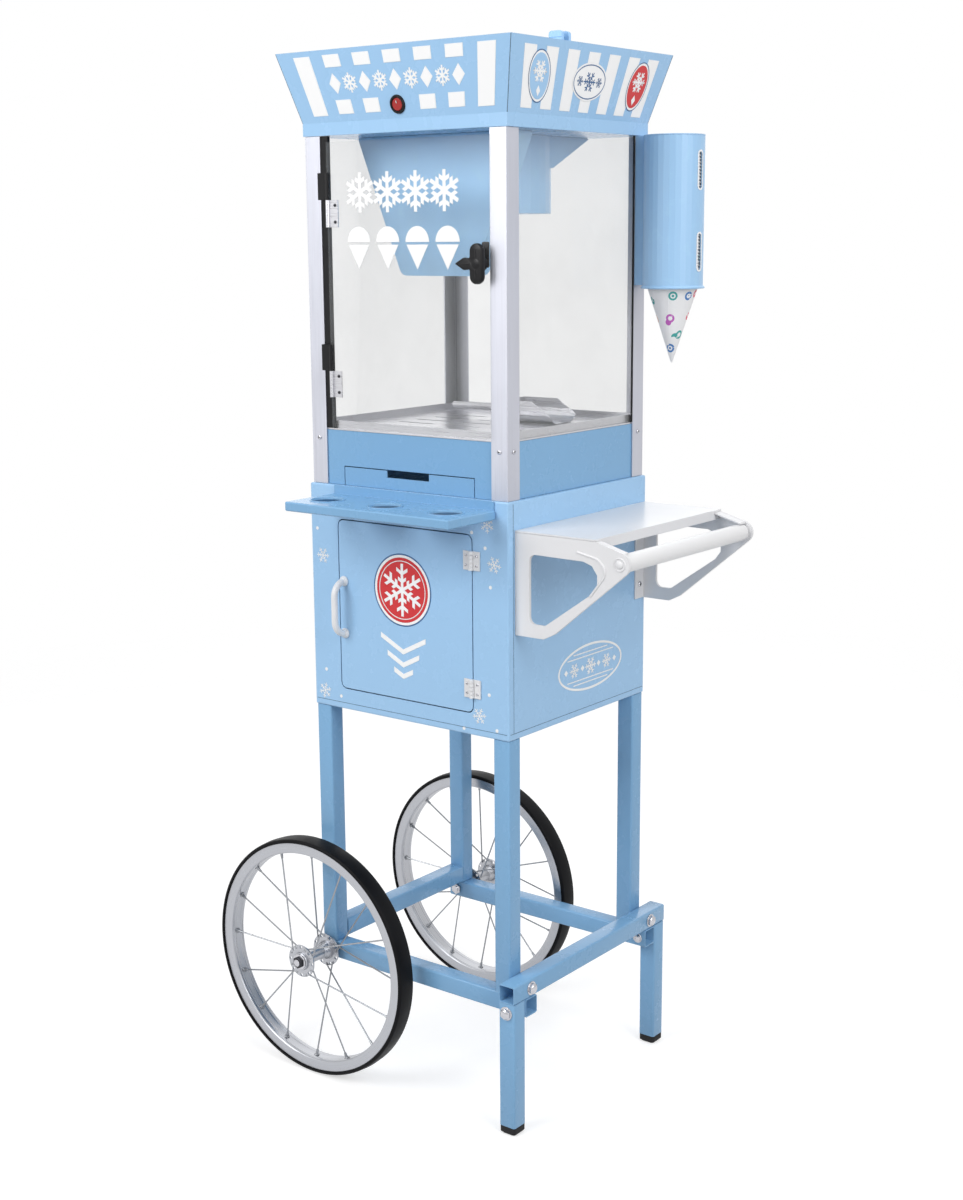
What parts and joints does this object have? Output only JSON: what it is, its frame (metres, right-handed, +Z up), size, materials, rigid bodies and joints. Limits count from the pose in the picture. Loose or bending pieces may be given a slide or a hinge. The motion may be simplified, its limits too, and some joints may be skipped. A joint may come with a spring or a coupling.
{
  "type": "snow cone machine",
  "caption": "Ice shaver kiosk with glass door, flared header and lidded hopper on a two-wheeled cart with storage cabinet, cone rack, cone dispenser and side shelf.",
  "frame": {"origin": "on the floor under the centre of the bounding box, between the wheels and the foot caps", "axes": "+Z up, -Y towards the front with the glass door, -X towards the wheels, +X towards the side shelf"},
  "size_m": [0.6558, 0.4776, 1.3981],
  "materials": {
    "sky_blue_enamel": "gloss enamel",
    "sky_blue_plastic": "gloss",
    "white_enamel": "satin enamel",
    "white_plastic": "gloss",
    "black_rubber": "matte",
    "tyre": "matte",
    "black_plastic": "matte",
    "red_plastic": "gloss",
    "aluminium": "satin",
    "wheel_metal": "satin plated",
    "steel": "brushed",
    "chrome": "bright",
    "clear_glass": "clear",
    "paper": "coated"
  },
  "bodies": {
    "chassis": {"front_left_leg": "sky_blue_enamel", "front_right_leg": "sky_blue_enamel", "rear_left_leg": "sky_blue_enamel", "rear_right_leg": "sky_blue_enamel", "left_side_rail": "sky_blue_enamel", "front_cross_rail": "sky_blue_enamel", "rear_cross_rail": "sky_blue_enamel", "stand": "sky_blue_enamel", "front_foot_cap": "black_rubber", "rear_foot_cap": "black_rubber", "front_axle": "chrome", "rear_axle": "chrome", "cabinet": "sky_blue_enamel", "lower_hinge_cabinet_leaf": "white_enamel", "upper_hinge_cabinet_leaf": "white_enamel", "cone_rack": "sky_blue_enamel", "kiosk_base": "sky_blue_enamel", "ice_deck": "steel", "front_left_post": "aluminium", "front_right_post": "aluminium", "rear_left_post": "aluminium", "rear_right_post": "aluminium", "left_pane": "clear_glass", "right_pane": "clear_glass", "back_pane": "clear_glass", "hinge_strip": "black_plastic", "header_shell": "sky_blue_enamel", "header_top": "sky_blue_enamel", "switch_bezel": "black_plastic", "power_inlet": "black_plastic", "ice_hopper": "steel", "shaver_blade": "steel", "shaver_motor": "steel", "motor_drum": "sky_blue_plastic", "discharge_chute": "sky_blue_plastic", "shelf_plate": "white_enamel", "front_shelf_bracket": "white_enamel", "rear_shelf_bracket": "white_enamel", "handle_bar": "white_enamel", "cone_dispenser": "sky_blue_plastic", "cone_stack": "paper"},
    "front_wheel_set": {"front_wheel": "wheel_metal", "front_tyre": "tyre"},
    "rear_wheel_set": {"rear_wheel": "wheel_metal", "rear_tyre": "tyre"},
    "storage_door_set": {"storage_door": "sky_blue_enamel", "door_pull": "white_plastic", "lower_hinge_door_leaf": "white_enamel", "upper_hinge_door_leaf": "white_enamel"},
    "glass_door_set": {"glass_door": "clear_glass", "lower_glass_hinge": "steel", "upper_glass_hinge": "steel"},
    "latch": {"latch_knob": "black_plastic"},
    "drawer": {"drip_drawer": "sky_blue_enamel"},
    "lid": {"hopper_lid": "sky_blue_plastic"},
    "rocker": {"switch_rocker": "red_plastic"},
    "rotor": {"shaver_rotor": "steel"},
    "cone": {"paper_cone": "paper"},
    "scoop_body": {"scoop": "steel"}
  },
  "joints": [
    {"name": "front_wheel_spin", "type": "hinge", "parent": "chassis", "child": "front_wheel_set", "pos_m": [-0.1579, -0.176, 0.17], "axis": [0, 1, 0], "continuous": true},
    {"name": "rear_wheel_spin", "type": "hinge", "parent": "chassis", "child": "rear_wheel_set", "pos_m": [-0.1579, 0.203, 0.17], "axis": [0, 1, 0], "continuous": true},
    {"name": "storage_door_hinge", "type": "hinge", "parent": "chassis", "child": "storage_door_set", "pos_m": [0.10185, -0.1468, 0.6685], "axis": [0, 0, 1], "range_deg": [0, 110]},
    {"name": "glass_door_hinge", "type": "hinge", "parent": "chassis", "child": "glass_door_set", "pos_m": [-0.1249, -0.1468, 1.0865], "axis": [0, 0, -1], "range_deg": [0, 110]},
    {"name": "latch_knob_turn", "type": "hinge", "parent": "glass_door_set", "child": "latch", "pos_m": [0.1206, -0.1438, 1.117], "axis": [0, 1, 0], "range_deg": [0, 90]},
    {"name": "drip_drawer_slide", "type": "slide", "parent": "chassis", "child": "drawer", "axis": [0, -1, 0], "range_m": [0, 0.16]},
    {"name": "hopper_lid_hinge", "type": "hinge", "parent": "chassis", "child": "lid", "pos_m": [0.1246, 0.0135, 1.3851], "axis": [0, 1, 0], "range_deg": [0, 100]},
    {"name": "rocker_tilt", "type": "hinge", "parent": "chassis", "child": "rocker", "pos_m": [-0.0064, -0.14375, 1.30911], "axis": [1, 0, 0], "range_deg": [0, 14]},
    {"name": "shaver_rotor_spin", "type": "hinge", "parent": "chassis", "child": "rotor", "pos_m": [-0.0064, 0.0385, 1.2848], "axis": [0, 0, 1], "continuous": true},
    {"name": "paper_cone_slide", "type": "slide", "parent": "chassis", "child": "cone", "axis": [0, 0, -1], "range_m": [0, 0.1]},
    {"name": "scoop_lift", "type": "slide", "parent": "chassis", "child": "scoop_body", "axis": [0, 0, 1], "range_m": [0, 0.15]}
  ]
}
